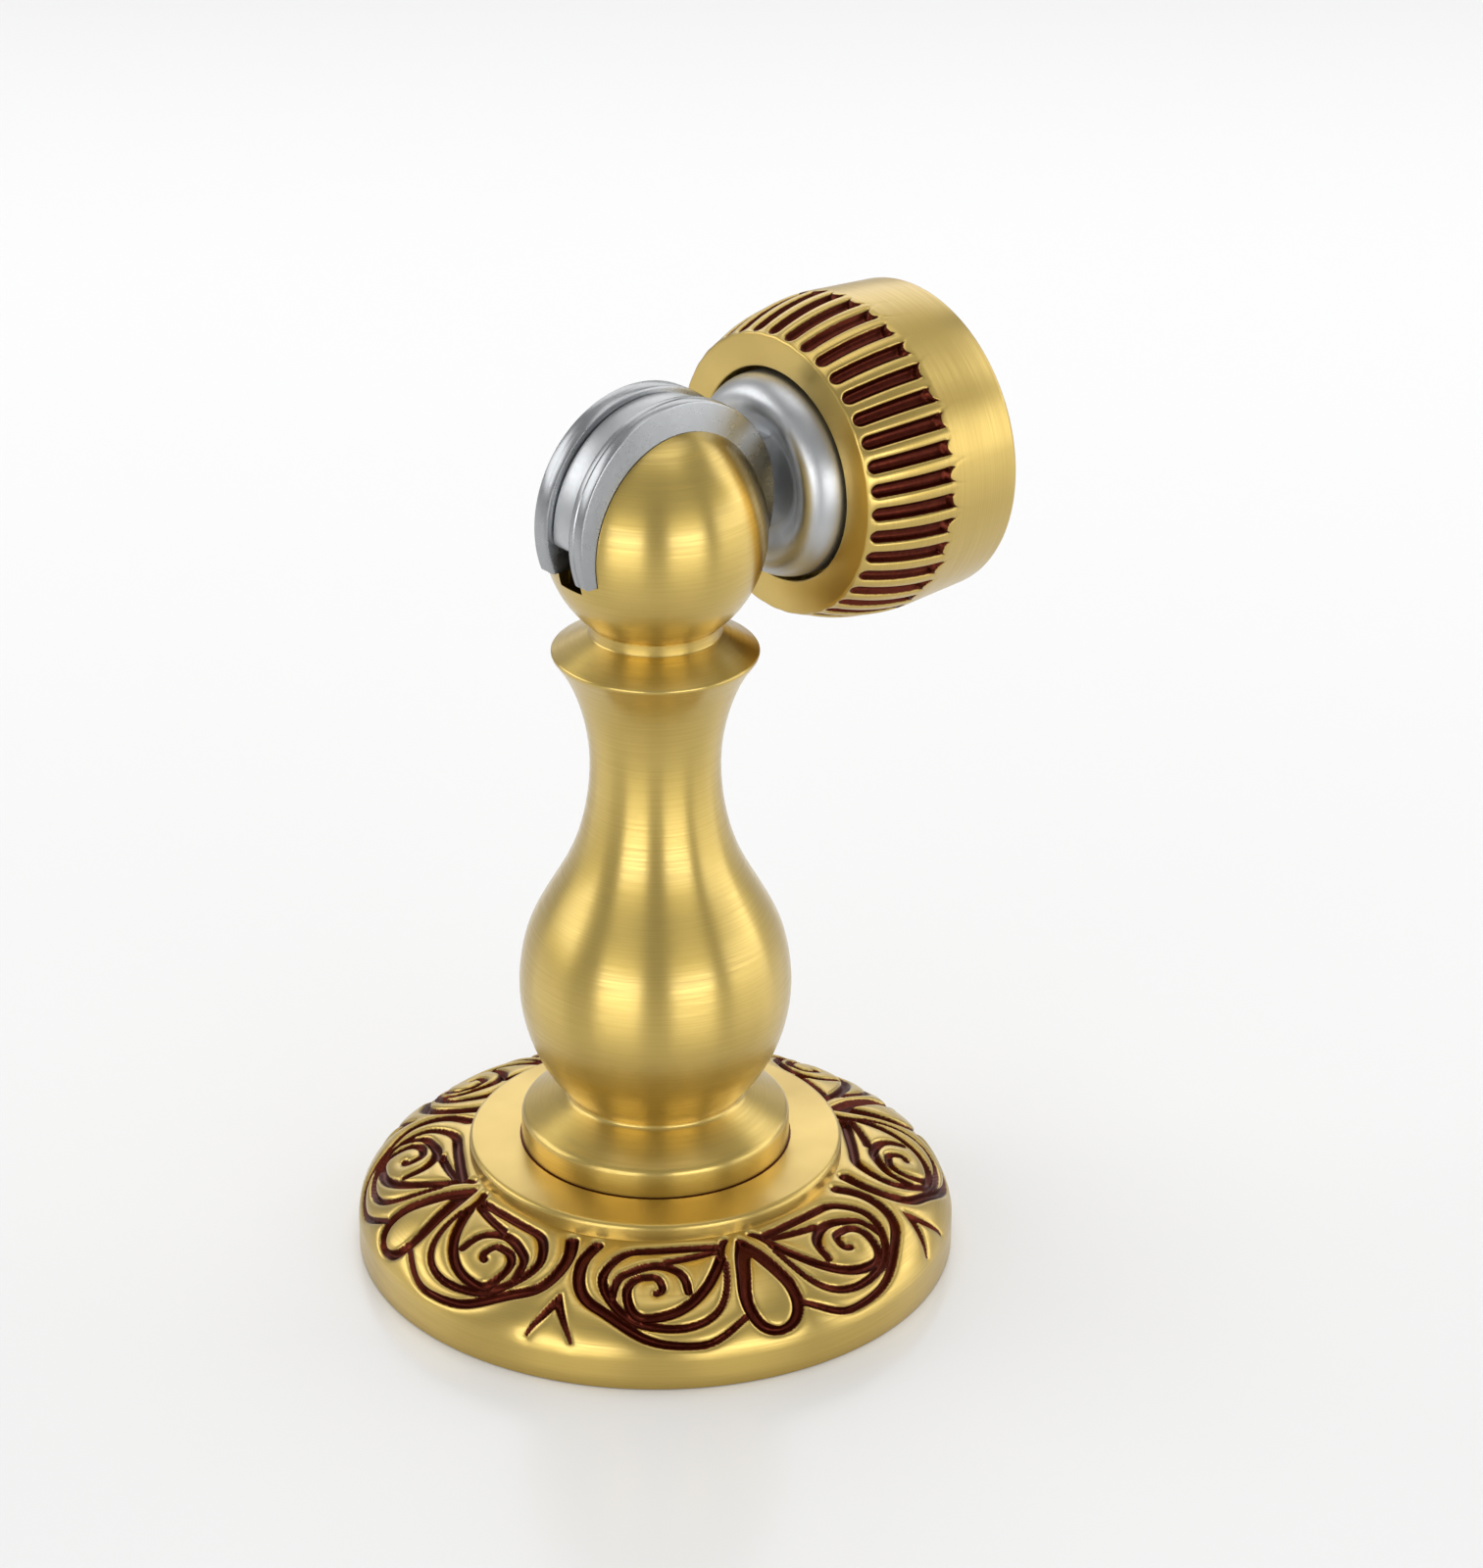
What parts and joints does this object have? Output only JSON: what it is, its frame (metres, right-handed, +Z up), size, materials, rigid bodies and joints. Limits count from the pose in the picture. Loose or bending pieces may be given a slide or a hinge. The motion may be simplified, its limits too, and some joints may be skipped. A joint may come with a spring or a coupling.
{
  "type": "magnetic door stop",
  "caption": "Floor-standing magnetic door stop: turned brass pillar on a carved rosette, with a fluted magnet cup on a tilting, spring-buffered head.",
  "frame": {"origin": "on the floor, on the pillar's axis, at the mouth of the threaded fixing hole", "axes": "+Z up the pillar, +X along the head towards the magnet's face, Y along the hinge pin"},
  "size_m": [0.0616, 0.059, 0.0935],
  "materials": {
    "carved_brass": "satin brass with dark red-brown patina in the carving",
    "satin_brass": "fine turned satin",
    "fluted_brass": "satin brass with dark red-brown patina in the flutes",
    "zinc_plated_steel": "stamped steel, zinc plated",
    "nickel_plate": "zinc casting, dull nickel plate",
    "plain_steel": "plain steel",
    "magnet_plate": "nickel-plated magnet",
    "black_rubber": "matt black rubber"
  },
  "bodies": {
    "base": {"rosette": "carved_brass", "pillar": "satin_brass", "cheek_plate_left": "zinc_plated_steel", "cheek_plate_right": "zinc_plated_steel", "hinge_pin": "plain_steel"},
    "head": {"swivel": "nickel_plate", "shoulder_screw": "plain_steel", "buffer_spring": "plain_steel"},
    "magnet_head": {"cup": "fluted_brass", "pole_cup": "plain_steel", "magnet": "magnet_plate", "buffer_ring": "black_rubber"}
  },
  "joints": [
    {"name": "head_tilt", "type": "hinge", "parent": "base", "child": "head", "pos_m": [0, 0, 0.07769], "axis": [0, -1, 0], "range_deg": [0, 180]},
    {"name": "cup_buffer", "type": "slide", "parent": "head", "child": "magnet_head", "axis": [1, 0, 0], "range_m": [-0.0025, 0], "stiffness_N_per_m": 1500, "springref_m": 0.004, "deforming": ["buffer_spring"]}
  ]
}
